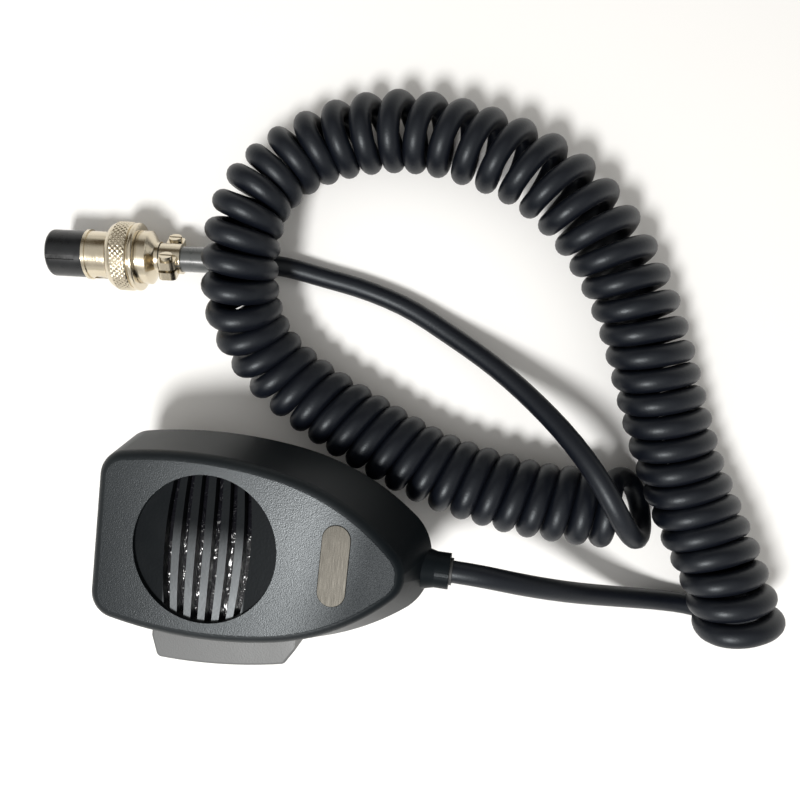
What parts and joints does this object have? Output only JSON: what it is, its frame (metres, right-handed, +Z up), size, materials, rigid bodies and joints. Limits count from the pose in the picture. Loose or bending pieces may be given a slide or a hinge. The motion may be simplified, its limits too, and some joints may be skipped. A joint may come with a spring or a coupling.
{
  "type": "hand microphone",
  "caption": "Palm-held communications microphone with slotted grille, side push-to-talk bar, hanger stud, curly cord and screw-lock multiway plug.",
  "frame": {"origin": "on the table, below the middle of the microphone case's bounding box, with the case lying on its back on its hanger stud and one corner", "axes": "+X from the case's blunt end towards its cord, +Z up, +Y away from the push-to-talk bar; the case is tilted 7.8 degrees nose up about Y and 4.9 degrees about its length"},
  "size_m": [0.2053, 0.1562, 0.0418],
  "materials": {
    "case_plastic": "satin black ABS with a fine grain",
    "grille_plastic": "satin black plastic",
    "film": "thin glossy wrinkled film",
    "badge_metal": "brushed, blank",
    "button_plastic": "light grey, fine grain",
    "relief_rubber": "soft black rubber",
    "cord_rubber": "satin near-black sheath",
    "sleeve_rubber": "glossy black sleeve",
    "nickel": "nickel plate, softly polished",
    "steel": "zinc plated steel",
    "insert_plastic": "glossy black moulding",
    "contact_metal": "gold-flashed brass",
    "board": "phenolic board",
    "component_plastic": "moulded component bodies",
    "wire_insulation": "thin red insulation",
    "element_metal": "plain spun capsule",
    "gasket_rubber": "foam rubber"
  },
  "bodies": {
    "microphone": {"front_shell": "case_plastic", "rear_shell": "case_plastic", "case_screws": "steel", "hanger_stud": "nickel", "stud_nut": "steel", "grille_insert": "grille_plastic", "dust_film": "film", "microphone_element": "element_metal", "element_gasket": "gasket_rubber", "badge": "badge_metal", "ptt_pivot_pin": "steel", "ptt_spring": "steel", "switch_body": "component_plastic", "circuit_board": "board", "board_screws": "steel", "board_parts": "component_plastic", "element_wires": "wire_insulation", "strain_relief": "relief_rubber", "cable_clamp": "steel", "cable_clamp_screws": "steel", "plug_insert": "insert_plastic", "plug_contacts": "contact_metal", "plug_shell": "nickel", "insert_screw": "steel", "plug_rear_body": "nickel", "clamp_saddle": "nickel", "clamp_screws": "nickel", "cord_sleeve": "sleeve_rubber", "lead_from_mic": "cord_rubber", "curly_coil": "cord_rubber", "lead_to_plug": "cord_rubber"},
    "push_to_talk_bar": {"ptt_button": "button_plastic"},
    "plunger": {"switch_plunger": "button_plastic"},
    "clip": {"ring_clip": "steel"},
    "ring": {"coupling_ring": "nickel"}
  },
  "joints": [
    {"name": "bar_pivot", "type": "hinge", "parent": "microphone", "child": "push_to_talk_bar", "pos_m": [0.00686, -0.01495, 0.02136], "axis": [0.1352, 0.0854, -0.9871], "range_deg": [0, 4], "stiffness_Nm_per_rad": 0.3, "springref_deg": -8.59},
    {"name": "plunger_slide", "type": "slide", "parent": "microphone", "child": "plunger", "axis": [-0.0116, 0.9963, 0.0846], "range_m": [0, 0.002]},
    {"name": "ring_slide", "type": "slide", "parent": "microphone", "child": "clip", "axis": [-0.9977, -0.068, 0], "range_m": [0, 0.0107]},
    {"name": "ring_turn", "type": "hinge", "parent": "clip", "child": "ring", "pos_m": [-0.05205, 0.07363, 0.0093], "axis": [-0.9977, -0.068, 0], "continuous": true}
  ],
  "couplings": [
    {"joint": "plunger_slide", "follows": "bar_pivot", "m_per_rad": 0.0263}
  ]
}
